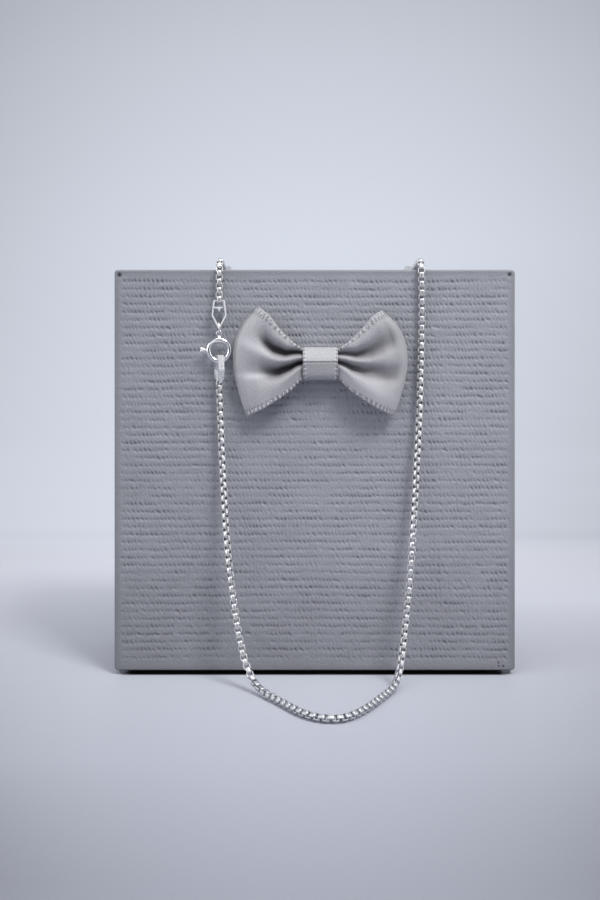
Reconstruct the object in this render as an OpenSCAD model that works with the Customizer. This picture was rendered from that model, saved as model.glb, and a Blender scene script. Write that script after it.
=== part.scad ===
// Box chain necklace, clasped and draped over the square gift box that holds it.
// Millimetres, +Z up. X runs to the right of the lid's face, and the lid's face looks along -Y.
// The origin is on the surface that the box stands on, under the middle of everything's outline.

/* [Gift box] */
// Width of the lid
box_w = 90; // [80:1:120]
// Height of the lid, as the box stands on its edge
box_h = 90; // [86:1:120]
// Depth of the closed box, front to back
box_depth = 30; // [24:1:50]
// Thickness of the paper-covered board
board_t = 1.8; // [1.2:0.1:3]
// Corner radius of the lid
lid_corner_r = 0.8; // [0.4:0.1:1.5]
// Gap all round between the lid and the base inside it
lid_gap = 0.3; // [0.2:0.1:0.6]
// How far the base stands out behind the lid's rim
base_reveal = 0.6; // [0:0.1:3]
// Height of the folded paper corners that the box stands on
foot_h = 1; // [0.6:0.1:2]
// Diameter of a folded paper corner
foot_d = 2.4; // [1.6:0.1:4]
// Distance of a folded corner's middle from the lid's side
foot_inset = 1.9; // [1.6:0.1:4]

/* [Chain link] */
// Outer width of a link
link_w = 1.5; // [1.46:0.01:1.54]
// Outer length of a link
link_l = 1.5; // [1.46:0.01:1.6]
// Width of the strip that a link is bent from
strip_w = 0.85; // [0.7:0.01:0.88]
// Thickness of the strip
strip_t = 0.18; // [0.14:0.01:0.18]
// Play between two hooked links
link_play = 0.16; // [0.12:0.01:0.2]
// Cut across a link's outer corners
link_corner = 0.3; // [0.2:0.01:0.32]
// Cut across a link's inner corners
link_inner_corner = 0.1; // [0.05:0.01:0.12]

/* [Clasp] */
// Outer diameter of the spring ring
ring_d = 5.8; // [5.7:0.1:6]
// Diameter of its tube
tube_d = 1.1; // [1.06:0.01:1.12]
// Bore of the tube
bore_d = 0.8; // [0.76:0.01:0.84]
// Diameter of the tongue that slides in the bore
tongue_d = 0.6; // [0.5:0.01:0.64]
// Angle where the gap starts, from the right, as the lid is faced
gap_start = 105; // [104:1:108]
// Angle where the gap ends
gap_end = 145; // [140:1:148]
// How far the closed tongue's tip reaches into the tube, in degrees
tip_seat = 4; // [2:1:6]
// Angle of the trigger with the clasp closed
trigger_angle = 178; // [172:1:182]
// Travel of the trigger, in degrees
trigger_travel = 40; // [30:1:42]
// Length of rod behind the trigger, in degrees
tongue_tail = 22; // [16:1:30]
// Diameter of the trigger's neck
neck_d = 0.44; // [0.36:0.01:0.5]
// Clearance of the neck in its slot, on each side
slot_gap = 0.1; // [0.08:0.01:0.15]
// Length of the trigger's knob
knob_l = 1.3; // [1:0.1:1.6]
// Diameter of each of the knob's two lobes
lobe_d = 0.66; // [0.5:0.01:0.8]
// Angle between the knob's lobes
lobe_angle = 22; // [16:1:30]
// Wire of the soldered eye
eye_wire = 0.34; // [0.3:0.01:0.38]
// Inner diameter of the eye
eye_hole = 0.78; // [0.72:0.01:0.9]

/* [Jump ring] */
// Outer diameter of the jump ring
jump_d = 2.8; // [2.7:0.1:3]
// Wire of the jump ring
jump_wire = 0.4; // [0.34:0.01:0.42]

/* [End tags] */
// Length of a tag
tag_l = 6.2; // [5.8:0.1:7]
// Width of a tag across its flat end
tag_end_w = 2.5; // [2.3:0.1:2.7]
// Width of a tag at its shoulders
tag_w = 3.3; // [3:0.1:3.5]
// Distance of the shoulders from the flat end
tag_shoulder = 3.4; // [3:0.1:3.8]
// Thickness of a tag's strip
tag_t = 0.3; // [0.24:0.01:0.32]
// Width of a tag's strip
tag_strip_w = 1.36; // [1.2:0.01:1.4]
// Width of the strip where a chain link hooks it
tag_neck_w = 0.8; // [0.7:0.01:0.86]
// Width of the upper tag's pointed end
upper_tip_w = 0.5; // [0.4:0.1:0.7]
// Width of the lower tag's blunt end
lower_tip_w = 1.9; // [1.8:0.1:2.1]
// How far the lower tag is turned to the right
lower_tag_turn = 24; // [15:1:28]

/* [Bow] */
// Overall width of the bow
bow_w = 38.6; // [34:0.1:39]
// Distance of the bow's middle below the lid's upper edge
bow_down = 21; // [17:1:25]
// Place of the bow's middle, right of the lid's middle
bow_right = 1.2; // [0.8:0.1:3]
// Height of the loops above the bow's middle
bow_upper = 12.5; // [10:0.1:14]
// Depth of the loops below the bow's middle
bow_lower = 11.8; // [10:0.1:14]
// How far the loops stand off the lid
bow_depth = 6; // [5:0.1:8]
// Thickness of the ribbon
ribbon_t = 0.4; // [0.3:0.05:0.5]
// Depth of a pleat
pleat_depth = 1.3; // [0.8:0.1:1.6]
// Width of the knot's band
knot_w = 7.7; // [6:0.1:9]
// Height of the knot
knot_h = 7.2; // [7:0.1:9]
// How far the knot stands off the lid
knot_depth = 5; // [4.6:0.1:6]
// Clearance between a soft piece and what it lies on
soft_gap = 0.25; // [0.2:0.05:0.4]

/* [Hidden] */
$fn = 48;
eps = 0.01;

// Height of the lid's upper edge, and its share of the height that the route is drawn for.
box_top = foot_h + box_h;
rise = box_top / 91;
bow_z = box_top - bow_down;

// Middle of the spring ring, beside the bow and clear of the lid's face.
ring_x = -21.3;
ring_z = box_top - 18.1;
ring_off = 1.9;
ring_mid_r = (ring_d - tube_d) / 2;

// The fastenings hang one in the other, so each takes its height from the next.
metal_gap = 0.12;
eye_mid_r = (eye_hole + eye_wire) / 2;
eye_z = ring_z + ring_d / 2 + eye_mid_r + eye_wire / 2 + metal_gap;
jump_z = eye_z + eye_mid_r - eye_wire / 2 - metal_gap + jump_d / 2 - jump_wire;
upper_off = 1.8;
tip_slope = (tag_w - upper_tip_w) / 2 / (tag_l - tag_shoulder);
tip_inner_w = upper_tip_w / 2 + tip_slope * tag_t - norm([1, tip_slope]) * tag_t;
flank_h = max(0, jump_wire / 2 - tip_inner_w) / tip_slope;
seat_h = sqrt(pow(jump_d / 2 - jump_wire - metal_gap, 2) - pow(tag_strip_w / 2, 2));
upper_tag_z = jump_z + seat_h - flank_h - tag_t + tag_l;
last_link_z = upper_tag_z - tag_t - metal_gap + link_l / 2 - strip_t;
lower_tag_z = ring_z - ring_mid_r + tube_d / 2 + 4 * metal_gap + tag_t;
first_link_z = lower_tag_z - tag_l + tag_t + metal_gap - link_l / 2 + strip_t;

// Spacing of hooked links in a straight stretch.
link_pitch = link_l - 2 * strip_t - link_play;

// How far the chain's middle keeps from what it lies on: half a turned link and a little air.
lie = norm([link_w, strip_w]) / 2 + metal_gap;
on_top = box_top + lie;
behind = box_depth + lie;

// Which way the chain's outer side looks along the route.
FRONT = [0, -1, 0];
UP = [0, 0, 1];
BACK = [0, 1, 0];

// Route of the chain, from the lower tag down, over the floor, up, over the box, round behind it
// and back over to the upper tag. y counts from the lid's face, and turn is the twist in degrees.
//   [x, y, z, outer side, turn]
chain_route = [
    [ring_x, -ring_off, first_link_z, FRONT, -24],
    [-21.0, -1.8, 56 * rise, FRONT, -22],
    [-20.3, -2.7, 42 * rise, FRONT, -44],
    [-18.8, -6.2, 25 * rise, FRONT, -78],
    [-16.8, -8.8, 12.5, FRONT, -90],
    [-15.4, -10.0, 6.6, FRONT, -85],
    [-13.6, -12.2, 2.5, UP, -70],
    [-11.0, -15.9, lie, UP, -93],
    [-7.0, -21.5, lie, UP, -123],
    [-2.9, -28.8, lie, UP, -135],
    [1.4, -32.0, lie, UP, -135],
    [6.0, -31.5, lie, UP, -135],
    [10.2, -25.6, lie, UP, -135],
    [14.3, -17.2, lie, UP, -135],
    [17.0, -12.0, lie, UP, -139],
    [18.2, -8.9, 3.1, FRONT, -148],
    [19.1, -7.0, 8.3, FRONT, -156],
    [20.0, -6.2, 15.5, FRONT, -167],
    [21.1, -5.1, 25 * rise, FRONT, -180],
    [22.3, -3.2, 40 * rise, FRONT, -220],
    [23.4, -1.4, 62 * rise, FRONT, -250],
    [24.0, -1.1, 80 * rise, FRONT, -270],
    [23.9, -1.2, box_top - 3, FRONT, -270],
    [23.8, -1.3, box_top, FRONT, -270],
    [23.8, 0.2, box_top + 2.15, UP, -270],
    [23.8, 3.6, box_top + 1.8, UP, -270],
    [23.7, 9, on_top, UP, -270],
    [23.6, box_depth - 9, on_top, UP, -270],
    [23.6, box_depth - 3.6, box_top + 1.8, UP, -270],
    [23.5, box_depth - 0.2, box_top + 2.15, UP, -270],
    [23.4, box_depth + 1.3, box_top, BACK, -270],
    [23.4, box_depth + 1.2, box_top - 3, BACK, -270],
    [23.0, behind, 74 * rise, BACK, -270],
    [20.9, behind, 58 * rise, BACK, -270],
    [16.3, behind, 41 * rise, BACK, -270],
    [9.0, behind, 28 * rise, BACK, -270],
    [1.2, behind, 25 * rise, BACK, -270],
    [-6.6, behind, 28 * rise, BACK, -270],
    [-13.9, behind, 41 * rise, BACK, -270],
    [-18.5, behind, 58 * rise, BACK, -270],
    [-20.6, behind, 74 * rise, BACK, -270],
    [-21.1, box_depth + 1.2, box_top - 3, BACK, -270],
    [-21.2, box_depth + 1.3, box_top, BACK, -270],
    [-21.2, box_depth - 0.2, box_top + 2.15, UP, -270],
    [-21.2, box_depth - 3.6, box_top + 1.8, UP, -270],
    [-21.3, box_depth - 9, on_top, UP, -270],
    [-21.3, 9, on_top, UP, -270],
    [-21.3, 3.6, box_top + 1.8, UP, -270],
    [-21.3, 0.2, box_top + 2.15, UP, -270],
    [-21.3, -1.4, box_top, FRONT, -270],
    [-21.3, -1.5, box_top - 3, FRONT, -270],
    [ring_x, -upper_off, last_link_z, FRONT, -270]
];

// Links drawn from each end of the route, up to the lid's upper edge. The tube takes the rest.
front_links = 211;
upper_links = 6;

// The front loop and the hanging back stretch set the outline's front and back.
loop_reach = 32.5;
face_y = (loop_reach - behind - link_w / 2) / 2;

// Samples of the smooth curve between two points of the route.
route_steps = 8;

// Sides of the tube behind the box, and the spacing of its rings, which draw together in a bend.
tube_sides = 8;
ring_step = 2.1 * link_w;
ring_crowding = 2.4 * link_w;

// Bow sections, out from its middle, as shares of the bow's own sizes.
//   [place, front stand-off, back stand-off, upper height, lower height]
bow_sections = [
    [0, 0.60, 0.24, 0.235, 0.25],
    [0.23, 0.62, 0.22, 0.24, 0.255],
    [0.36, 0.80, 0.15, 0.37, 0.50],
    [0.54, 0.92, 0.12, 0.59, 0.68],
    [0.75, 0.96, 0.12, 0.86, 0.85],
    [0.90, 0.82, 0.14, 0.96, 0.94],
    [1, 0.62, 0.20, 1, 1]
];
// How far the loops' corners draw in, as shares of the half width.
upper_corner_in = 0.29;
lower_corner_in = 0.16;
upper_corner_power = 4;
lower_corner_power = 1.5;
// Pleats across the ribbon: place from -1 at its lower edge to 1 at its upper edge, and width.
pleat_places = [-0.34, 0.42];
pleat_width = 0.16;
ribbon_around = 72;
ribbon_across = 14;

function unit(v) = v / norm(v);

// A rectangle with its corners cut.
function cut_rectangle(w, l, cut) = [
    [w / 2, cut - l / 2], [w / 2, l / 2 - cut], [w / 2 - cut, l / 2], [cut - w / 2, l / 2],
    [-w / 2, l / 2 - cut], [-w / 2, cut - l / 2], [cut - w / 2, -l / 2], [w / 2 - cut, -l / 2]
];

// A convex outline, listed anticlockwise, drawn in by t.
function inset(outline, t) = let (n = len(outline)) [
    for (i = [0 : n - 1])
        let (
            into = unit(outline[i] - outline[(i + n - 1) % n]),
            away = unit(outline[(i + 1) % n] - outline[i]),
            a = [-into.y, into.x],
            b = [-away.y, away.x]
        )
        outline[i] + t * (a + b) / (1 + a * b)
];

// Smooth curve through the route: position, outer side and turn are blended alike.
route_rows = [for (r = chain_route) concat([r[0], r[1] + face_y, r[2]], r[3], [r[4]])];
route_ends = concat(
    [2 * route_rows[0] - route_rows[1]],
    route_rows,
    [2 * route_rows[len(route_rows) - 1] - route_rows[len(route_rows) - 2]]
);
function blend(i, t) =
    (pow(1 - t, 3) * route_ends[i]
        + (3 * pow(t, 3) - 6 * t * t + 4) * route_ends[i + 1]
        + (-3 * pow(t, 3) + 3 * t * t + 3 * t + 1) * route_ends[i + 2]
        + pow(t, 3) * route_ends[i + 3]) / 6;
curve = concat(
    [
        for (i = [0 : len(route_rows) - 2])
            for (k = [0 : route_steps - 1]) blend(i, k / route_steps)
    ],
    [route_rows[len(route_rows) - 1]]
);
function place_of(row) = [row[0], row[1], row[2]];
along = [
    for (i = 0, s = 0; i < len(curve);
        s = s + (i + 1 < len(curve) ? norm(place_of(curve[i + 1]) - place_of(curve[i])) : 0),
        i = i + 1) s
];
chain_length = along[len(along) - 1];
columns = [for (c = [0 : 6]) [for (i = [0 : len(curve) - 1]) [along[i], curve[i][c]]]];

// Place, heading, outer side, twist and bend of the chain at a distance along it.
look_l = 0.3;
function column(c, s) = lookup(s, columns[c]);
function at(s) = [column(0, s), column(1, s), column(2, s)];
function heading(s) =
    unit(at(min(s + look_l, chain_length)) - at(max(s - look_l, 0)));
function outer(s) = [column(3, s), column(4, s), column(5, s)];
function bend(s) =
    let (a = max(s - 2 * look_l, 0), b = min(s + 2 * look_l, chain_length))
    norm(heading(b) - heading(a)) / (b - a);

// In a bend the strips tilt, so the links draw together once their play is taken up.
function step(s) =
    let (strip_reach = strip_w / 2 * (abs(cos(column(6, s))) + abs(sin(column(6, s)))))
    link_pitch - max(0, strip_reach * link_pitch * bend(s) - (link_play - metal_gap));
front_places = [for (i = 0, s = 0; i < front_links; s = s + step(s), i = i + 1) s];
upper_places = [
    for (i = 0, s = chain_length; i < upper_links; s = s - step(s), i = i + 1) s
];

// Moves children to the chain's place s, with Z along it and -Y to its outer side.
module on_chain(s) {
    z = heading(s);
    x = unit(cross(z, outer(s)));
    y = cross(z, x);
    p = at(s);
    multmatrix([
        [x.x, y.x, z.x, p.x],
        [x.y, y.y, z.y, p.y],
        [x.z, y.z, z.z, p.z],
        [0, 0, 0, 1]
    ])
        rotate([0, 0, column(6, s)])
            children();
}

module chain_link() {
    rotate([90, 0, 0])
        linear_extrude(height = strip_w, center = true)
            difference() {
                polygon(cut_rectangle(link_w, link_l, link_corner));
                polygon(cut_rectangle(
                    link_w - 2 * strip_t, link_l - 2 * strip_t, link_inner_corner));
            }
}

// Draws a link at each place, every second one turned a quarter round.
module links(places) {
    for (i = [0 : len(places) - 1])
        on_chain(places[i])
            rotate([0, 0, 90 * (i % 2)])
                chain_link();
}

// The twist of the route turns the first link across the lower tag's tip, and the last one
// across the upper tag's bar.
module chain_front() {
    color("silver") {
        links(front_places);
        links(upper_places);
    }
}

// The hidden stretch, as a tube of the links' width.
module chain_back() {
    first = front_places[front_links - 1] + link_l / 2 + 2 * metal_gap;
    last = upper_places[upper_links - 1] - link_l / 2 - 2 * metal_gap;
    places = concat(
        [
            for (s = first; s < last - ring_step / 2;
                s = s + ring_step / (1 + ring_crowding * bend(s))) s
        ],
        [last]
    );
    rings = len(places) - 1;
    function ring_points(s) =
        let (
            z = heading(s),
            x = unit(cross(z, outer(s))),
            y = cross(z, x),
            turn = 360 / tube_sides
        )
        [
            for (k = [0 : tube_sides - 1])
                at(s) + link_w / 2 * (cos((k + 0.5) * turn) * x + sin((k + 0.5) * turn) * y)
        ];
    points = [for (s = places) each ring_points(s)];
    sides = [
        for (i = [0 : rings - 1])
            for (k = [0 : tube_sides - 1])
                let (a = i * tube_sides + k, b = i * tube_sides + (k + 1) % tube_sides)
                    each [
                        [a, a + tube_sides, b + tube_sides],
                        [a, b + tube_sides, b]
                    ]
    ];
    start = [for (k = [0 : tube_sides - 1]) k];
    end = [for (k = [tube_sides - 1 : -1 : 0]) rings * tube_sides + k];
    color("silver")
        polyhedron(points, concat([start], sides, [end]));
}

module rounded_square(w, h, r) {
    translate([r - w / 2, -h / 2])
        square([w - 2 * r, h]);
    translate([-w / 2, r - h / 2])
        square([w, h - 2 * r]);
    for (x = [-1, 1])
        for (y = [-1, 1])
            translate([x * (w / 2 - r), y * (h / 2 - r)])
                circle(r);
}

// Extrudes an outline drawn as the lid is faced, back from y.
module from_face(y, depth) {
    translate([0, y + depth, foot_h + box_h / 2])
        rotate([90, 0, 0])
            linear_extrude(height = depth)
                children();
}

module box_lid() {
    skirt = box_depth - base_reveal;
    color([0.58, 0.59, 0.64]) {
        difference() {
            from_face(face_y, skirt)
                rounded_square(box_w, box_h, lid_corner_r);
            from_face(face_y + board_t, skirt)
                square([box_w - 2 * board_t, box_h - 2 * board_t], center = true);
        }
        for (x = [-1, 1])
            for (y = [foot_inset, skirt - foot_inset])
                translate([x * (box_w / 2 - foot_inset), face_y + y, 0])
                    cylinder(d = foot_d, h = foot_h + board_t / 2);
    }
}

module box_base() {
    base_w = box_w - 2 * (board_t + lid_gap);
    base_h = box_h - 2 * (board_t + lid_gap);
    front = face_y + board_t + lid_gap;
    color([0.5, 0.51, 0.55])
        difference() {
            from_face(front, face_y + box_depth - front)
                square([base_w, base_h], center = true);
            from_face(front - eps, face_y + box_depth - board_t - front + eps)
                square([base_w - 2 * board_t, base_h - 2 * board_t], center = true);
        }
}

function pleat(v) =
    let (places = [for (p = pleat_places) exp(-pow((v - p) / pleat_width, 2))])
    places[0] + places[1];
function corner_in(v) =
    v > 0 ? upper_corner_in * pow(v, upper_corner_power)
          : lower_corner_in * pow(-v, lower_corner_power);
function section(c, share) = lookup(share, [for (r = bow_sections) [r[0], r[c]]]);

// Middle surface of the ribbon: round it from the knot's front, and across it from -1 to 1.
function ribbon_place(turn, v) =
    let (
        share = abs(sin(turn)),
        front = section(1, share) * bow_depth
            - pleat_depth * pleat(v) * sin(180 * share) * section(1, share),
        back = section(2, share) * bow_depth,
        off = (front + back) / 2 + cos(turn) * (front - back) / 2,
        up = v > 0 ? v * bow_upper * section(3, share) : v * bow_lower * section(4, share)
    )
    [
        bow_right + bow_w / 2 * sin(turn) * (1 - corner_in(v) * share),
        face_y - off,
        bow_z + up
    ];

module bow_ribbon() {
    da = 360 / ribbon_around;
    function skin(side) = [
        for (i = [0 : ribbon_around - 1])
            for (j = [0 : ribbon_across])
                let (
                    v = 2 * j / ribbon_across - 1,
                    t = ribbon_place(i * da + 1, v) - ribbon_place(i * da - 1, v),
                    n = unit([t.y, -t.x, 0])
                )
                ribbon_place(i * da, v) + side * ribbon_t / 2 * n
    ];
    row = ribbon_across + 1;
    count = ribbon_around * row;
    function cell(i, j) = (i % ribbon_around) * row + j;
    quads = [
        for (i = [0 : ribbon_around - 1])
            for (j = [0 : ribbon_across - 1])
                [cell(i, j), cell(i + 1, j), cell(i + 1, j + 1), cell(i, j + 1)]
    ];
    function split(q) = [[q[0], q[1], q[2]], [q[0], q[2], q[3]]];
    outside = [for (q = quads) each split(q)];
    inside = [for (q = quads) each split([for (k = [3 : -1 : 0]) q[k] + count])];
    rims = [
        for (i = [0 : ribbon_around - 1])
            each [
                each split([cell(i, 0), cell(i, 0) + count, cell(i + 1, 0) + count, cell(i + 1, 0)]),
                each split([
                    cell(i + 1, ribbon_across), cell(i + 1, ribbon_across) + count,
                    cell(i, ribbon_across) + count, cell(i, ribbon_across)
                ])
            ]
    ];
    color([0.66, 0.66, 0.7])
        polyhedron(concat(skin(1), skin(-1)), concat(outside, inside, rims));
}

module bow_knot() {
    // The band is a rounded loop round the gathered ribbon.
    module loop_outline(in) {
        translate([(knot_depth + soft_gap) / 2, 0])
            rounded_square(knot_depth - soft_gap - 2 * in, knot_h - 2 * in, 1 - in);
    }
    color([0.68, 0.68, 0.72])
        translate([bow_right - knot_w / 2, face_y, bow_z])
            rotate([0, 90, 0])
                rotate([0, 0, -90])
                    linear_extrude(height = knot_w)
                        difference() {
                            loop_outline(0);
                            loop_outline(ribbon_t);
                        }
}

// A tag hangs down from its flat end, with its strip's width along Y.
module end_tag(tip_w, neck_at_tip) {
    outline = [
        [tip_w / 2, -tag_l], [tag_w / 2, -tag_shoulder], [tag_end_w / 2, 0],
        [-tag_end_w / 2, 0], [-tag_w / 2, -tag_shoulder], [-tip_w / 2, -tag_l]
    ];
    neck_h = 2.4 * tag_t;
    neck_z = neck_at_tip ? -tag_l - eps : -neck_h;
    difference() {
        rotate([90, 0, 0])
            linear_extrude(height = tag_strip_w, center = true)
                difference() {
                    polygon(outline);
                    polygon(inset(outline, tag_t));
                }
        for (side = [0, 1])
            mirror([0, side, 0])
                translate([-tag_w / 2, tag_neck_w / 2, neck_z])
                    cube([tag_w, tag_strip_w, neck_h + eps]);
    }
}

module end_tag_upper() {
    // The strip's end is tucked in under the chain's last link, with a pointed tip.
    tuck_z = -5 * tag_t;
    tuck_l = tag_end_w - 3 * tag_t;
    color("silver")
        translate([ring_x, face_y - upper_off, upper_tag_z]) {
            end_tag(upper_tip_w, false);
            rotate([90, 0, 0])
                linear_extrude(height = tag_neck_w, center = true)
                    polygon([
                        [-tag_end_w / 2 - tag_t / 3, tuck_z], [tuck_l / 2, tuck_z],
                        [tuck_l / 2, tuck_z - tag_t], [tag_t, tuck_z - 1.2 * tag_t],
                        [0, tuck_z - 4 * tag_t], [-tag_t, tuck_z - 1.2 * tag_t],
                        [-tag_end_w / 2 - tag_t / 3, tuck_z - tag_t]
                    ]);
        }
}

module end_tag_lower() {
    color("silver")
        translate([ring_x, face_y - ring_off, lower_tag_z])
            rotate([0, 0, 90 + lower_tag_turn])
                end_tag(lower_tip_w, true);
}

module jump_ring() {
    color("silver")
        translate([ring_x, face_y - upper_off, jump_z])
            rotate([0, 90, 0])
                rotate_extrude()
                    translate([(jump_d - jump_wire) / 2, 0])
                        circle(d = jump_wire);
}

// Turns about the ring's middle, with angles counted from the right as the lid is faced.
module on_ring() {
    translate([ring_x, face_y - ring_off, ring_z])
        rotate([90, 0, 0])
            children();
}

module arc(from, to) {
    rotate([0, 0, from])
        rotate_extrude(angle = to - from)
            translate([ring_mid_r, 0])
                children();
}

module clasp_ring() {
    slot_w = neck_d + 2 * slot_gap;
    slot_margin = asin(slot_w / 2 / ring_mid_r);
    tube_end = gap_start + 360;
    post_z = ring_mid_r + bore_d / 2;
    post_h = eye_z - eye_mid_r - ring_z - post_z;
    color("silver")
        on_ring()
            difference() {
                union() {
                    arc(gap_end, tube_end)
                        circle(d = tube_d);
                    translate([0, eye_z - ring_z, 0])
                        rotate_extrude()
                            translate([eye_mid_r, 0])
                                circle(d = eye_wire);
                    translate([0, post_z, 0])
                        rotate([-90, 0, 0])
                            cylinder(d1 = 0.9 * tube_d, d2 = 1.5 * eye_wire, h = post_h);
                }
                arc(gap_end - 1, tube_end + 1)
                    circle(d = bore_d);
                arc(trigger_angle - slot_margin, trigger_angle + trigger_travel + slot_margin)
                    translate([bore_d / 4, -slot_w / 2])
                        square([tube_d, slot_w]);
            }
}

module clasp_tongue() {
    neck_l = ring_d / 2 + metal_gap - ring_mid_r;
    color("silver")
        on_ring() {
            arc(gap_start - tip_seat, trigger_angle + tongue_tail)
                circle(d = tongue_d);
            rotate([0, 0, trigger_angle])
                translate([ring_mid_r, 0, 0]) {
                    rotate([0, 90, 0])
                        cylinder(d = neck_d, h = neck_l + lobe_d / 2);
                    for (side = [-1, 1])
                        translate([neck_l + lobe_d / 2, 0, 0])
                            rotate([0, 0, side * lobe_angle]) {
                                rotate([0, 90, 0])
                                    cylinder(d = lobe_d, h = knob_l - lobe_d);
                                sphere(d = lobe_d);
                                translate([knob_l - lobe_d, 0, 0])
                                    sphere(d = lobe_d);
                            }
                }
        }
}

box_lid();
box_base();
bow_ribbon();
bow_knot();
chain_front();
chain_back();
end_tag_upper();
end_tag_lower();
jump_ring();
clasp_ring();
clasp_tongue();
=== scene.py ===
"""A box chain necklace draped over its gift box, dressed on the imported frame. Metres, +Z up."""

import math

import bpy
import numpy as np
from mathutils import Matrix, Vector


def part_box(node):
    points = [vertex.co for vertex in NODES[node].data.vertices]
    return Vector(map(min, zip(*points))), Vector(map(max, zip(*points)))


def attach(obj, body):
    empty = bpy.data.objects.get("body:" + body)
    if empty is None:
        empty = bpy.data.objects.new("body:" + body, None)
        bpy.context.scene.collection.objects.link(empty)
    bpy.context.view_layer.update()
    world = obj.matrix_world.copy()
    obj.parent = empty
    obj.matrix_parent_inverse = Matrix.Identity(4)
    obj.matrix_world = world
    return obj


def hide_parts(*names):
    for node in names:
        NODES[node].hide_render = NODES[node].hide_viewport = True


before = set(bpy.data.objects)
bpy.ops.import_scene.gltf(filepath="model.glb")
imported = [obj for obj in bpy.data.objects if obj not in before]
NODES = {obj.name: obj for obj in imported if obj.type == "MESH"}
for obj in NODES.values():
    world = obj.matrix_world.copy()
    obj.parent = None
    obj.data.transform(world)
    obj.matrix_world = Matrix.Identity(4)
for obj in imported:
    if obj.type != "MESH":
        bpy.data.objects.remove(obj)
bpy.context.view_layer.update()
BODY = "necklace_and_box"
MM = 0.001

# The box, in millimetres, read from the frame. Its front face is the lid's panel.
LID_LOW, LID_HIGH = (np.array(corner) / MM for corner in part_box("box_lid"))
FACE_Y = LID_LOW[1]
LID_HALF = round(LID_HIGH[0], 2)
LID_DEPTH = round(LID_HIGH[1] - FACE_Y, 2)
BOX_TOP = round(LID_HIGH[2], 2)
BOX_DEPTH = round(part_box("box_base")[1][1] / MM - FACE_Y, 2)
# The folded paper tips that the lid stands on, its board, and the roundings of its edges.
TIP_H = 1.0
BOARD = 1.8
EDGE_ROUND, CORNER_ROUND, RIM_ROUND = 0.55, 0.8, 0.3
LID_MID = (BOX_TOP + TIP_H) / 2

# The chain, in millimetres: its links, the solids' strip, the play and the gap between links,
# and how high a link's middle lies over what carries it.
LINK_W, LINK_L = 1.5, 1.5
STRIP_T, STRIP_W = 0.18, 0.85
LINK_PLAY, METAL_GAP = 0.16, 0.12
LIE = 0.982
# The drawn strip is a little fuller than the solids' one.
DRAWN_T, DRAWN_W = 0.2, 0.88

# The camera, in millimetres from the frame's origin and from the lid's face.
CAMERA_X, CAMERA_Z, CAMERA_AWAY = -3.3, 75.2, 250.0


def make_camera():
    """A level camera in front of the lid, a little left of its middle."""
    data = bpy.data.cameras.new("camera")
    data.sensor_fit = "VERTICAL"
    data.sensor_height = 36.0
    data.lens = 44.56
    data.shift_y = -0.1222
    data.clip_start = 0.01
    data.clip_end = 20.0
    camera = bpy.data.objects.new("camera", data)
    camera.location = (CAMERA_X * MM, (FACE_Y - CAMERA_AWAY) * MM, CAMERA_Z * MM)
    camera.rotation_euler = (math.radians(90.0), 0.0, 0.0)
    bpy.context.collection.objects.link(camera)
    bpy.context.scene.camera = camera


make_camera()


# Materials


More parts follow.
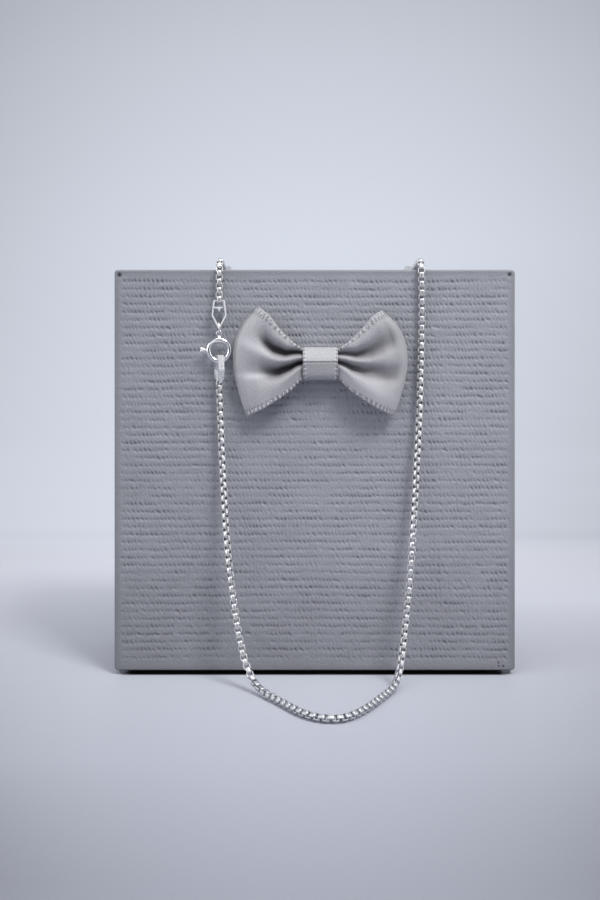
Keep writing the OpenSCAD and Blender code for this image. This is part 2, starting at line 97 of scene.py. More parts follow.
class Graph:
    """Short names for building the nodes of a material or of the sky."""

    def __init__(self, owner, shader="BsdfPrincipled", output="OutputMaterial", coords="Object"):
        owner.use_nodes = True
        self.owner = owner
        self.tree = owner.node_tree
        self.tree.nodes.clear()
        self.output = self.add("ShaderNode" + output)
        self.shader = self.add("ShaderNode" + shader)
        self.link(self.shader.outputs[0], self.output.inputs["Surface"])
        self.coords = self.add("ShaderNodeTexCoord").outputs[coords]

    def add(self, kind, **settings):
        node = self.tree.nodes.new(kind)
        for key, value in settings.items():
            setattr(node, key, value)
        return node

    def link(self, a, b):
        self.tree.links.new(a, b)

    def put(self, socket, value):
        """Links a socket to another one, or sets its constant."""
        if hasattr(value, "is_output"):
            self.link(value, socket)
        else:
            socket.default_value = value

    def set(self, **values):
        """Puts values on the shader's sockets, each named with underscores for its spaces."""
        for key, value in values.items():
            self.put(self.shader.inputs[key.replace("_", " ")], value)

    def math(self, operation, a, b=0.0, c=0.0):
        node = self.add("ShaderNodeMath", operation=operation)
        for socket, value in zip(node.inputs, (a, b, c)):
            self.put(socket, value)
        return node.outputs[0]

    def split(self, vector):
        node = self.add("ShaderNodeSeparateXYZ")
        self.link(vector, node.inputs[0])
        return node.outputs

    def join(self, x, y, z):
        node = self.add("ShaderNodeCombineXYZ")
        for socket, value in zip(node.inputs, (x, y, z)):
            self.put(socket, value)
        return node.outputs[0]

    def distance(self, a, b):
        node = self.add("ShaderNodeVectorMath", operation="DISTANCE")
        self.put(node.inputs[0], a)
        self.put(node.inputs[1], b)
        return node.outputs["Value"]

    def field(self, name):
        """A named number that the mesh holds at every vertex."""
        return self.add("ShaderNodeAttribute", attribute_name=name).outputs["Fac"]

    def noise(self, scale, detail, roughness):
        """Noise over the object. Its scale is per metre, one number or one for each axis."""
        node = self.add("ShaderNodeTexNoise")
        node.inputs["Detail"].default_value = detail
        node.inputs["Roughness"].default_value = roughness
        if isinstance(scale, tuple):
            stretched = self.add("ShaderNodeVectorMath", operation="MULTIPLY")
            self.link(self.coords, stretched.inputs[0])
            stretched.inputs[1].default_value = scale
            self.link(stretched.outputs[0], node.inputs["Vector"])
            node.inputs["Scale"].default_value = 1.0
        else:
            self.link(self.coords, node.inputs["Vector"])
            node.inputs["Scale"].default_value = scale
        return node.outputs["Fac"]

    def waves(self, value, pitch, shift=0.0):
        """A sine wave along a value, from 0 to 1."""
        phase = self.math("MULTIPLY_ADD", value, 2.0 * math.pi / pitch, shift)
        return self.math("MULTIPLY_ADD", self.math("SINE", phase), 0.5, 0.5)

    def ramp(self, value, *stops):
        """Colours or grey levels at places along a value, with the end ones kept beyond them."""
        start = stops[0][0]
        span = stops[-1][0] - start
        node = self.add("ShaderNodeValToRGB")
        self.link(self.math("MULTIPLY_ADD", value, 1.0 / span, -start / span), node.inputs[0])
        elements = node.color_ramp.elements
        for place, _ in stops[1:-1]:
            elements.new((place - start) / span)
        for element, (_, colour) in zip(elements, stops):
            element.color = (colour, colour, colour, 1.0) if isinstance(colour, float) else (*colour, 1.0)
        return node.outputs[0]

    def mix(self, factor, a, b, blend="MIX"):
        node = self.add("ShaderNodeMix", data_type="RGBA", blend_type=blend)
        self.put(node.inputs[0], factor)
        for socket, value in ((node.inputs[6], a), (node.inputs[7], b)):
            self.put(socket, (*value, 1.0) if isinstance(value, tuple) else value)
        return node.outputs[2]

    def times(self, tone, *factors):
        """A tone multiplied by other tones."""
        for factor in factors:
            tone = self.mix(1.0, tone, factor, "MULTIPLY")
        return tone

    def bump(self, height, distance, strength, normal=None):
        node = self.add("ShaderNodeBump")
        node.inputs["Strength"].default_value = strength
        node.inputs["Distance"].default_value = distance
        self.link(height, node.inputs["Height"])
        if normal is not None:
            self.link(normal, node.inputs["Normal"])
        return node.outputs[0]


def scaled(colour, factor):
    return tuple(factor * c for c in colour)


def silver(name, roughness, wear, metallic=1.0, level=0.95, sparkle=0.0, links=False):
    """Smudged and finely scratched silver. Sparkle is the depth of its small dents, in metres.

    Links get painted shade and are rougher on their inner faces; where they lie on the floor they are painted
    darker, towards a grey like the floor's, and made rougher.
    """
    g = Graph(bpy.data.materials.new(name))
    smudge = g.noise(900.0, 4.0, 0.6)
    scratch = g.noise((2600.0, 2600.0, 700.0), 2.0, 0.5)
    tone = g.ramp(smudge, (0.3, scaled((0.91, 0.91, 0.92), level)), (0.7, level))
    rough = g.math("MULTIPLY_ADD", g.math("ADD", smudge, scratch), wear, roughness - wear)
    if links:
        inside, lying_dimmed = g.field("inside"), g.field("lying_dimmed")
        # painted shade on the links' inner faces
        tone = g.mix(inside, tone, (0.15, 0.15, 0.16))
        # painted shade: the links that lie on the floor are darkened towards a grey
        tone = g.mix(g.math("MULTIPLY", lying_dimmed, 0.72), tone, (0.44, 0.45, 0.48))
        rough = g.math("MULTIPLY_ADD", inside, 0.2, rough)
        rough = g.math("MULTIPLY_ADD", lying_dimmed, 0.17, rough)
    g.set(Base_Color=tone, Metallic=metallic, Roughness=rough)
    normal = g.bump(scratch, 0.000004, 0.6)
    if sparkle:
        normal = g.bump(g.noise(1900.0, 2.0, 0.5), sparkle, 1.0, normal)
    g.set(Normal=normal)
    return g.owner


# Small tucks of the paper on the lid's face. Columns: x, z from the lid's middle, radius, depth, in mm.
TUCKS = [
    (-43.85, 43.75, 0.42, 0.45),
    (43.75, 43.85, 0.36, 0.40),
    (41.3, -44.0, 0.20, 0.25),
    (42.3, -44.05, 0.22, 0.25),
    (41.2, -43.2, 0.20, 0.16),
]


def face_painted_shade(g):
    """Painted shade on the lid's paper: darker towards its edges, its bottom and its left side, and in its
    tucks.
    """
    x, _, z = g.split(g.coords)
    upward = g.math("ABSOLUTE", g.math("SUBTRACT", z, LID_MID * MM))
    outward = g.math("MAXIMUM", g.math("ABSOLUTE", x), upward)
    yield g.ramp(outward, (0.0433, 1.0), (0.0443, 0.86))
    yield g.ramp(z, (0.0, 0.69), (0.028, 0.92), (0.055, 1.0), (0.092, 0.985))
    yield g.ramp(x, (-0.050, 0.87), (-0.015, 0.97), (0.010, 1.03), (0.045, 1.0))
    for tuck_x, tuck_z, radius, _ in TUCKS:
        away = g.distance(g.join(x, 0.0, z), (tuck_x * MM, 0.0, (tuck_z + LID_MID) * MM))
        yield g.ramp(away, (0.5 * radius * MM, 0.22), (1.6 * radius * MM, 1.0))


def lid_paper(name, body, grain, face=False):
    """Matt fibrous paper over board. Grain scales how rough it feels."""
    g = Graph(bpy.data.materials.new(name))
    fibre = g.noise(4200.0, 5.0, 0.7)
    cloud = g.noise(90.0, 4.0, 0.6)
    fleck = g.noise((900.0, 900.0, 5200.0), 3.0, 0.6)
    pebble = g.noise((1500.0, 1500.0, 2300.0), 3.0, 0.7)
    blotch = g.math("MULTIPLY", g.math("ADD", cloud, fleck), 0.5)
    tone = g.ramp(blotch, (0.3, scaled(body, 0.9)), (0.7, scaled(body, 1.12)))
    if face:
        # painted shade on the lid's face, walls and corner tips
        tone = g.times(tone, *face_painted_shade(g))
    height = g.math("MULTIPLY_ADD", fibre, 0.6, g.math("MULTIPLY", fleck, 0.4))
    normal = g.bump(height, 0.00005 * grain, 0.9, g.bump(pebble, 0.00016 * grain, 0.8))
    rough = g.ramp(fibre, (0.3, 0.62), (0.7, 0.8))
    g.set(Base_Color=tone, Roughness=rough, Normal=normal, Specular_IOR_Level=0.35)
    return g.owner


# The ribbon's weave: pitch of its twill and of the stitch holes along its edges, in mm.
TWILL_PITCH, HOLE_PITCH = 0.44, 1.05


def satin(name, body, woven=True):
    """Satin ribbon: diagonal twill along the cloth, and a woven edge with stitch holes.

    A woven piece says at each vertex how far along and across the ribbon it lies, in mm.
    """
    g = Graph(bpy.data.materials.new(name))
    if woven:
        along, width = g.field("along"), g.field("width")
    else:
        x, _, z = g.split(g.coords)
        along, width = g.math("DIVIDE", x, MM), g.math("DIVIDE", z, MM)
    slant = g.math("MULTIPLY_ADD", along, 0.72, g.math("MULTIPLY", width, 0.70))
    fine = g.math("MULTIPLY", g.noise(1100.0, 2.0, 0.5), 3.2)
    wander = g.math("MULTIPLY_ADD", g.noise(130.0, 2.0, 0.5), 2.0, fine)
    twill = g.waves(slant, TWILL_PITCH, wander)
    thread = g.noise((1900.0, 1900.0, 3200.0), 2.0, 0.6)
    speck = g.noise(3000.0, 2.0, 0.6)
    weave = g.math("MULTIPLY_ADD", speck, 0.44, g.math("MULTIPLY", thread, 0.30))
    weave = g.math("MULTIPLY_ADD", twill, 0.26, weave)
    tone = g.ramp(weave, (0.3, scaled(body, 0.80)), (0.7, scaled(body, 1.16)))
    if woven:
        # painted shade in the ribbon's folds
        tone = g.times(tone, g.ramp(g.field("fold_shade"), (0.0, 1.0), (0.35, 0.80), (0.8, 0.34), (1.0, 0.16)))
        # painted highlights on the satin
        tone = g.mix(g.field("gleam"), tone, scaled(body, 1.38))
        out = g.math("ABSOLUTE", g.field("across"))
        edge = g.ramp(out, (0.87, 0.0), (0.895, 1.0), (0.975, 1.0), (0.995, 0.3))
        holes = g.ramp(g.waves(along, HOLE_PITCH), (0.35, 1.0), (0.75, 0.0))
        tone = g.mix(g.math("MULTIPLY", g.math("MULTIPLY", edge, holes), 0.45), tone, (0.06, 0.06, 0.07))
    g.set(Base_Color=tone, Roughness=g.ramp(weave, (0.2, 0.62), (0.8, 0.54)), Metallic=0.06)
    g.set(Specular_IOR_Level=0.28, Anisotropic=0.4, Sheen_Weight=0.06, Sheen_Roughness=0.35)
    g.set(Normal=g.bump(weave, 0.00006, 0.7))
    return g.owner


silver_links = silver("polished_silver_links", 0.28, 0.06, metallic=0.82, level=0.80, links=True)
silver_parts = silver("polished_silver_parts", 0.10, 0.04)
silver_tags = silver("brushed_silver_tags", 0.27, 0.06, metallic=0.80, sparkle=0.00003)
silver_edges = silver("matt_silver_edges", 0.22, 0.06, metallic=0.12, sparkle=0.00012)
silver_knob = silver("satin_silver_knob", 0.36, 0.05, metallic=0.5)
face_paper = lid_paper("embossed_paper", (0.342, 0.347, 0.380), 1.0, face=True)
base_paper = lid_paper("plain_paper", (0.23, 0.24, 0.275), 0.5)
ribbon_satin = satin("ribbon_satin", (0.478, 0.472, 0.493))
thread_satin = satin("ribbon_thread", (0.66, 0.66, 0.68), woven=False)


# Meshes


def dress(obj, material):
    obj.data.materials.clear()
    obj.data.materials.append(material)


def new_mesh(name, points, faces, material, smooth=True):
    mesh = bpy.data.meshes.new(name)
    mesh.from_pydata([tuple(p) for p in points], [], [tuple(int(i) for i in f) for f in faces])
    mesh.update()
    obj = bpy.data.objects.new(name, mesh)
    bpy.context.collection.objects.link(obj)
    dress(obj, material)
    mesh.polygons.foreach_set("use_smooth", [smooth] * len(mesh.polygons))
    return obj


def grid_faces(rows, columns, wrap_rows=False, wrap_columns=False, flip=False):
    """Quads between the points of a grid, whose rows or columns may close on themselves."""
    last_row = rows if wrap_rows else rows - 1
    last_column = columns if wrap_columns else columns - 1
    i, j = np.meshgrid(np.arange(last_row), np.arange(last_column), indexing="ij")
    here, below = i * columns, (i + 1) % rows * columns
    beside = (j + 1) % columns
    quads = np.stack([here + j, below + j, below + beside, here + beside], -1).reshape(-1, 4)
    return quads[:, [0, 3, 2, 1]] if flip else quads


def scatter(name, shape, frames, material):
    """Copies of one small mesh at frames of (axes, place), joined. All sizes are in mm."""
    points, faces = shape
    all_points, all_faces = [], []
    for i, (axes, place) in enumerate(frames):
        all_points.append((points @ axes.T + place) * MM)
        all_faces += [[k + i * len(points) for k in f] for f in faces]
    return new_mesh(name, np.vstack(all_points), all_faces, material)


def number(obj, name, values):
    """A named number at every vertex, for the materials."""
    field = obj.data.attributes.new(name, "FLOAT", "POINT")
    field.data.foreach_set("value", np.asarray(values, np.float32).ravel())


def bevel(obj, width, segments=3, angle=30.0):
    modifier = obj.modifiers.new("bevel", "BEVEL")
    modifier.width = width
    modifier.segments = segments
    modifier.limit_method = "ANGLE"
    modifier.angle_limit = math.radians(angle)
    modifier.harden_normals = True


def thicken(obj, thickness):
    """Gives a sheet its cloth's thickness, half of it on each side."""
    modifier = obj.modifiers.new("cloth_thickness", "SOLIDIFY")
    modifier.thickness = thickness
    modifier.offset = 0.0


def unit(vector):
    return vector / np.linalg.norm(vector)


def lengths(line):
    """Way along a line of points, at each of them."""
    return np.concatenate([[0.0], np.cumsum(np.linalg.norm(np.diff(line, axis=0), axis=1))])


# The signs of x and z in the four quarters of a face, anticlockwise from +x, +z.
QUARTERS = [(1, 1), (-1, 1), (-1, -1), (1, -1)]


def arc(quarter, count):
    """Directions round one quarter of a turn, as (cosine, sine)."""
    angles = math.pi / 2 * quarter + math.pi / 2 * np.arange(count) / (count - 1)
    return [(math.cos(a), math.sin(a)) for a in angles]


# The chain

# Its route, in millimetres, once round from the clasp's lower tag to its upper one.
# Columns: x, y from the lid's face, z, outer side of the links, their turn in degrees.
FRONT, UP, BACK = (0, -1, 0), (0, 0, 1), (0, 1, 0)
BEHIND, ON_TOP = BOX_DEPTH + LIE, BOX_TOP + LIE
RING_X, LOWER_OFF, UPPER_OFF = -21.3, 1.9, 1.8
FIRST_LINK_Z, LAST_LINK_Z = 65.53, 84.26
ROUTE = [
    (RING_X, -LOWER_OFF, FIRST_LINK_Z, FRONT, -24),
    (-21.0, -1.8, 56, FRONT, -22),
    (-20.3, -2.7, 42, FRONT, -44),
    (-18.8, -6.2, 25, FRONT, -78),
    (-16.8, -8.8, 12.5, FRONT, -90),
    (-15.4, -10.0, 6.6, FRONT, -85),
    (-13.6, -12.2, 2.5, UP, -70),
    (-11.0, -15.9, LIE, UP, -93),
    (-7.0, -21.5, LIE, UP, -123),
    (-2.9, -28.8, LIE, UP, -135),
    (1.4, -32.0, LIE, UP, -135),
    (6.0, -31.5, LIE, UP, -135),
    (10.2, -25.6, LIE, UP, -135),
    (14.3, -17.2, LIE, UP, -135),
    (17.0, -12.0, LIE, UP, -139),
    (18.2, -8.9, 3.1, FRONT, -148),
    (19.1, -7.0, 8.3, FRONT, -156),
    (20.0, -6.2, 15.5, FRONT, -167),
    (21.1, -5.1, 25, FRONT, -180),
    (22.3, -3.2, 40, FRONT, -220),
    (23.4, -1.4, 62, FRONT, -250),
    (24.0, -1.1, 80, FRONT, -270),
    (23.9, -1.2, BOX_TOP - 3, FRONT, -270),
    (23.8, -1.3, BOX_TOP, FRONT, -270),
    (23.8, 0.2, BOX_TOP + 2.15, UP, -270),
    (23.8, 3.6, BOX_TOP + 1.8, UP, -270),
    (23.7, 9, ON_TOP, UP, -270),
    (23.6, BOX_DEPTH - 9, ON_TOP, UP, -270),
    (23.6, BOX_DEPTH - 3.6, BOX_TOP + 1.8, UP, -270),
    (23.5, BOX_DEPTH - 0.2, BOX_TOP + 2.15, UP, -270),
    (23.4, BOX_DEPTH + 1.3, BOX_TOP, BACK, -270),
    (23.4, BOX_DEPTH + 1.2, BOX_TOP - 3, BACK, -270),
    (23.0, BEHIND, 74, BACK, -270),
    (20.9, BEHIND, 58, BACK, -270),
    (16.3, BEHIND, 41, BACK, -270),
    (9.0, BEHIND, 28, BACK, -270),
    (1.2, BEHIND, 25, BACK, -270),
    (-6.6, BEHIND, 28, BACK, -270),
    (-13.9, BEHIND, 41, BACK, -270),
    (-18.5, BEHIND, 58, BACK, -270),
    (-20.6, BEHIND, 74, BACK, -270),
    (-21.1, BOX_DEPTH + 1.2, BOX_TOP - 3, BACK, -270),
    (-21.2, BOX_DEPTH + 1.3, BOX_TOP, BACK, -270),
    (-21.2, BOX_DEPTH - 0.2, BOX_TOP + 2.15, UP, -270),
    (-21.2, BOX_DEPTH - 3.6, BOX_TOP + 1.8, UP, -270),
    (-21.3, BOX_DEPTH - 9, ON_TOP, UP, -270),
    (-21.3, 9, ON_TOP, UP, -270),
    (-21.3, 3.6, BOX_TOP + 1.8, UP, -270),
    (-21.3, 0.2, BOX_TOP + 2.15, UP, -270),
    (-21.3, -1.4, BOX_TOP, FRONT, -270),
    (-21.3, -1.5, BOX_TOP - 3, FRONT, -270),
    (RING_X, -UPPER_OFF, LAST_LINK_Z, FRONT, -270),
]


class Route:
    """Smooth curve through the route's rows: place, outer side and turn blended alike."""

    def __init__(self, rows, steps=24):
        table = np.array([[x, y + FACE_Y, z, *side, turn] for x, y, z, side, turn in rows], float)
        knots = np.vstack([2 * table[0] - table[1], table, 2 * table[-1] - table[-2]])
        t = np.arange(steps) / steps
        # the four weights of a uniform cubic spline
        weights = [(1 - t) ** 3, 3 * t**3 - 6 * t * t + 4, -3 * t**3 + 3 * t * t + 3 * t + 1, t**3]
        weights = np.stack(weights) / 6
        stretches = [weights.T @ knots[i : i + 4] for i in range(len(table) - 1)]
        self.curve = np.vstack(stretches + [table[-1:]])
        self.along = lengths(self.curve[:, :3])
        self.length = self.along[-1]

    def row(self, s):
        """Place, outer side and turn at a way along the route."""
        return np.array([np.interp(s, self.along, column) for column in self.curve.T])

    def heading(self, s, look=0.3):
        return unit((self.row(min(s + look, self.length)) - self.row(max(s - look, 0.0)))[:3])

    def bend(self, s, look=0.6):
        """Curvature, per mm."""
        a, b = max(s - look, 0.0), min(s + look, self.length)
        return np.linalg.norm(self.heading(b) - self.heading(a)) / (b - a)

    def frame(self, s, extra):
        """Columns x, y, z of a frame with z along the chain and -y to its outer side, and the place."""
        row = self.row(s)
        z = self.heading(s)
        x = unit(np.cross(z, row[3:6]))
        y = np.cross(z, x)
        a = math.radians(row[6] + extra)
        return np.stack([math.cos(a) * x + math.sin(a) * y, math.cos(a) * y - math.sin(a) * x, z], 1), row[:3]


def link_shape():
    """One link as a rounded strip loop: x across, z along, y the strip's width.

    Returns its points, its quads and which points lie on its inner side, where the links get painted shade.
    """
    outer_r, inner_r, rim = 0.42, 0.24, 0.07
    # the strip's rounded section: share from its inner to its outer side, edge, whether drawn in
    f = rim / DRAWN_T
    section = [(0.0, -1, 1), (f, -1, 0), (1 - f, -1, 0), (1.0, -1, 1)]
    section += [(1.0, 1, 1), (1 - f, 1, 0), (f, 1, 0), (0.0, 1, 1)]
    points, inside = [], []
    for quarter, (side_x, side_z) in enumerate(QUARTERS):
        for c, s in arc(quarter, 5):
            outer_x = side_x * (LINK_W / 2 - outer_r) + outer_r * c
            outer_z = side_z * (LINK_L / 2 - outer_r) + outer_r * s
            inner_x = side_x * (LINK_W / 2 - DRAWN_T - inner_r) + inner_r * c
            inner_z = side_z * (LINK_L / 2 - DRAWN_T - inner_r) + inner_r * s
            for share, edge, drawn_in in section:
                x = inner_x + (outer_x - inner_x) * share
                z = inner_z + (outer_z - inner_z) * share
                points.append((x, edge * (DRAWN_W / 2 - drawn_in * rim), z))
                inside.append(1.0 if share == 0.0 else 0.0)
    around = len(points) // len(section)
    return np.array(points), grid_faces(around, len(section), wrap_rows=True, wrap_columns=True), inside


def link_places(route):
    """Ways along the route of all links, nearer in a bend, where the strips tilt."""
    pitch = LINK_L - 2 * STRIP_T - LINK_PLAY
    places = []
    s = 0.0
    while s <= route.length - 0.35 * pitch:
        places.append(s)
        turn = math.radians(route.row(s)[6])
        reach = STRIP_W / 2 * (abs(math.cos(turn)) + abs(math.sin(turn)))
        s += pitch - max(0.0, reach * pitch * route.bend(s) - (LINK_PLAY - METAL_GAP))
    # The last link hooks the upper tag, so the small error is spread over the whole run.
    places = np.array(places) * route.length / places[-1]
    # The first and the last link stand alike, so their count is odd.
    count = len(places)
    if count % 2 == 0:
        places = np.interp(np.linspace(0, count - 1, count - 1), np.arange(count), places)
    return places


def make_chain():
    """All links of the chain, in three pieces."""
    route = Route(ROUTE)
    points, faces, inside = link_shape()
    frames = [route.frame(s, 90.0 * (i % 2)) for i, s in enumerate(link_places(route))]
    third = len(frames) // 3
    for n, last in enumerate((third, 2 * third, len(frames))):
        stretch = frames[n * third : last]
        piece = scatter("box_chain_%d" % (n + 1), (points, faces.tolist()), stretch, silver_links)
        heights = np.array([vertex.co.z for vertex in piece.data.vertices]) / MM
        # 1 on the links that lie on the floor, fading as the strands rise from it; there the links are
        # painted darker, as painted shade, and made rougher
        lying_dimmed = np.interp(heights, [2.5, 8.0], [1.0, 0.0])
        number(piece, "lying_dimmed", lying_dimmed)
        # painted shade on the links' inner faces, mostly left off where they lie on the floor
        number(piece, "inside", np.tile(inside, len(stretch)) * (1.0 - 0.9 * lying_dimmed))
        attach(piece, BODY)
        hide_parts("chain_front", "chain_back")


def dress_silver_parts():
    """The clasp, the jump ring and the tags keep their solids. Three get finely rounded edges."""
    for name, metal in (("end_tag_upper", silver_edges), ("end_tag_lower", silver_tags)):
        dress(NODES[name], metal)
        bevel(NODES[name], 0.00007)
    dress(NODES["jump_ring"], silver_parts)
    dress(NODES["clasp_tongue"], silver_knob)
    dress(NODES["clasp_ring"], silver_parts)
    bevel(NODES["clasp_ring"], 0.00003, 2, 40.0)


make_chain()
dress_silver_parts()


# Curves and random fields


def ease(t):
    """From 0 to 1 with soft ends."""
    t = np.clip(t, 0, 1)
    return t * t * (3 - 2 * t)


def bell(x):
    return np.exp(-(x**2))


def wave(x):
    """A cosine wave from 0 to 1, with a period of 1."""
    return 0.5 + 0.5 * np.cos(2 * math.pi * x)


def value_noise(x, y, seed):
    """Smooth random field from -1 to 1, in cells one unit wide."""
    size = 256
    grid = np.random.default_rng(seed).uniform(-1.0, 1.0, (size, size))
    xi, yi = np.floor(x).astype(int), np.floor(y).astype(int)
    fx, fy = ease(x - xi), ease(y - yi)
    a = grid[xi % size, yi % size]
    b = grid[(xi + 1) % size, yi % size]
    c = grid[xi % size, (yi + 1) % size]
    d = grid[(xi + 1) % size, (yi + 1) % size]
    return (a * (1 - fx) + b * fx) * (1 - fy) + (c * (1 - fx) + d * fx) * fy


# The box

# The paper's linen: height of a row, length of a stitch, and depth of its marks, in mm.
ROW_H, STITCH_L = 1.72, 0.93
GROOVE_DEEP, NICK_DEEP, COLUMN_DEEP = 0.30, 0.15, 0.13


def emboss(x, z):
    """Depth in mm of the paper's pressed linen rows, with x and z in mm from a face's middle."""
    drift = 0.16 * value_noise(x / 21 + 9, z / 22 + 5, 1) + 0.05 * value_noise(x / 5 + 3, z / 5 + 8, 2)
    rows = (z + drift) / ROW_H
    row = np.floor(rows)
    part = (rows - row - 0.5) * ROW_H
    wander = 0.10 * value_noise(x / 1.9 + 4, row * 7.7 + 0.5, 3)
    # each row's stitches start anywhere, and are of uneven length
    start = 40.0 * value_noise(row * 3.1 + 0.5, np.full_like(row, 0.5), 4)
    uneven = 0.8 * value_noise(x / 2.0 + 1, row * 5.3 + 0.5, 5)
    stitch = wave(x / STITCH_L + start + uneven + 0.30 * part)
    strong = 0.70 + 0.45 * value_noise(x / 6.0 + 2, row * 1.37 + 0.5, 6)
    strong = np.clip(strong + 0.4 * value_noise(x / 1.9 + 5, row * 2.1 + 0.5, 12), 0.15, 1.25)
    # the groove between two threads, deeper at each crossing
    groove = bell((part - wander) / np.where(part < wander, 0.24, 0.34))
    depth = GROOVE_DEEP * groove * strong * (0.14 + 1.15 * stitch**1.4)
    # short upright nicks across the threads
    nick = np.clip(0.15 + value_noise(x / 1.4 + 7, row * 2.9 + 0.5, 10), 0, 1)
    depth += NICK_DEEP * nick * bell(part / 0.55) * stitch**4
    # faint upright columns, and a fine grain
    columns = wave(x / STITCH_L + 0.6 * value_noise(x / 3 + 5, z / 6 + 2, 7)) ** 3
    depth += COLUMN_DEEP * columns * np.clip(0.1 + value_noise(x / 4 + 11, z / 2.6 + 6, 8), 0, 1)
    depth += 0.024 * value_noise(x / 0.55, z / 0.42, 9) + 0.02 * value_noise(x / 1.4, z / 0.9, 11)
    return depth


def lid_front():
    """The lid's front panel, pressed with linen rows, in two pieces that meet at the middle."""
    count = 406
    line = np.linspace(EDGE_ROUND - LID_HALF, LID_HALF - EDGE_ROUND, count)
    x, z = np.meshgrid(line, line, indexing="ij")
    # the rows fade out between 2.3 and 1.1 mm from the panel's edge
    depth = emboss(x, z) * ease((LID_HALF - np.maximum(np.abs(x), np.abs(z)) - 1.1) / (2.3 - 1.1))
    for tuck_x, tuck_z, radius, deep in TUCKS:
        depth += deep * np.exp(-((x - tuck_x) ** 2 + (z - tuck_z) ** 2) / radius**2)
    points = np.stack([x, FACE_Y + depth, z + LID_MID], 2) * MM
    # normals from the whole field, so that the two pieces meet without a seam
    slope_x, slope_z = np.gradient(depth, line[1] - line[0])
    normals = np.stack([slope_x, -np.ones_like(depth), slope_z], 2)
    normals /= np.linalg.norm(normals, axis=2, keepdims=True)
    middle = count // 2
    pieces = []
    for name, a, b in (("lid_front_lower", 0, middle + 1), ("lid_front_upper", middle, count)):
        # starting each quad at its next corner lets its diagonal run the other way
        faces = np.roll(grid_faces(count, b - a), -1, axis=1)
        piece = new_mesh(name, points[:, a:b].reshape(-1, 3), faces, face_paper)
        piece.data.normals_split_custom_set_from_vertices(normals[:, a:b].reshape(-1, 3).tolist())
        pieces.append(piece)
    return pieces


def lid_outline():
    """Points round the lid, seen from the front: x and z of a rounding's centre, and the way out."""
    straight = LID_HALF - CORNER_ROUND
    per_side = 150
    outline = []
    for quarter, (side_x, side_z) in enumerate(QUARTERS):
        x, z = side_x * straight, side_z * straight
        outline += [(x, z, c, s) for c, s in arc(quarter, 7)]
        next_x, next_z = (side * straight for side in QUARTERS[(quarter + 1) % 4])
        c, s = outline[-1][2:]
        for t in np.arange(1, per_side) / per_side:
            outline.append((x + (next_x - x) * t, z + (next_z - z) * t, c, s))
    return np.array(outline).T


def lid_walls():
    """Rounded edges, side walls with their pressed rows, and rim of the lid."""
    mid_x, mid_z, out_x, out_z = lid_outline()
    # Columns: stand-off from a rounding's centre, place back from the face, whether it is the wall.
    profile = [(CORNER_ROUND - EDGE_ROUND - 0.02, 0.02, False)]
    for c, s in arc(0, 6):
        profile.append((CORNER_ROUND - EDGE_ROUND + EDGE_ROUND * s, EDGE_ROUND - EDGE_ROUND * c, False))
    for back in np.linspace(EDGE_ROUND, LID_DEPTH - RIM_ROUND, 91)[1:]:
        profile.append((CORNER_ROUND, back, True))
    profile += [
        (CORNER_ROUND - 0.12, LID_DEPTH - 0.08, False),
        (CORNER_ROUND - 0.35, LID_DEPTH, False),
        (CORNER_ROUND - BOARD + 0.35, LID_DEPTH, False),
        (CORNER_ROUND - BOARD, LID_DEPTH - RIM_ROUND, False),
    ]
    run = np.where(np.abs(out_x) > np.abs(out_z), mid_z, mid_x)
    points = []
    for out, back, wall in profile:
        if wall:
            # the rows fade out towards the corners, the front edge and the rim
            fade = np.clip((LID_HALF - 1.0 - np.abs(run)) / 1.4, 0, 1)
            fade = fade * np.clip((back - 1.2) / 1.2, 0, 1) * np.clip(LID_DEPTH - 1.0 - back, 0, 1)
            out = out - fade * emboss(run + 120.0, np.full_like(run, back + 60.0))
        y = np.full_like(run, FACE_Y + back)
        points.append(np.stack([mid_x + out_x * out, y, mid_z + out_z * out + LID_MID], 1))
    faces = grid_faces(len(profile), len(run), wrap_columns=True, flip=True)
    return new_mesh("lid_walls", np.vstack(points) * MM, faces, face_paper)


def lid_lining():
    """Inner faces of the lid's walls and panel."""
    half = LID_HALF - BOARD
    points = []
    for y in (FACE_Y + BOARD, FACE_Y + LID_DEPTH - RIM_ROUND):
        # anticlockwise from the lower left
        for side_x, side_z in QUARTERS[2:] + QUARTERS[:2]:
            points.append((half * side_x * MM, y * MM, (half * side_z + LID_MID) * MM))
    faces = [(0, 1, 2, 3)] + [(k, k + 4, (k + 1) % 4 + 4, (k + 1) % 4) for k in range(4)]
    return new_mesh("lid_lining", points, faces, base_paper, smooth=False)


# The gathered tips of the covering paper at the lid's corners. Columns: radius, height, in mm.
TIP_RINGS = [(1.2, 1.9), (1.2, 0.9), (1.12, 0.45), (0.98, 0.12), (0.80, 0.0)]
TIP_IN = 1.9


def lid_corner_tips():
    """Small gathered tips of the covering paper at the lid's corners."""
    count = 20
    points, faces = [], []
    for side in (-1, 1):
        for back in (TIP_IN, LID_DEPTH - TIP_IN):
            start = len(points)
            for radius, height in TIP_RINGS:
                for a in 2 * math.pi * np.arange(count) / count:
                    r = radius * (1 + 0.05 * math.sin(3 * a + back + side) + 0.03 * math.sin(7 * a))
                    x = side * (LID_HALF - TIP_IN) + r * math.cos(a)
                    points.append((x * MM, (FACE_Y + back + r * math.sin(a)) * MM, height * MM))
            faces += (start + grid_faces(len(TIP_RINGS), count, wrap_columns=True)).tolist()
            faces.append(range(len(points) - count, len(points)))
    return new_mesh("lid_corner_tips", points, faces, face_paper)


def make_box():
    """The lid's paper, pressed and wrapped, over its solid, and the base as it is."""
    for piece in lid_front() + [lid_walls(), lid_lining(), lid_corner_tips()]:
        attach(piece, BODY)
        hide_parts("box_lid")
    dress(NODES["box_base"], base_paper)
    bevel(NODES["box_base"], 0.0003)


make_box()


# The bow

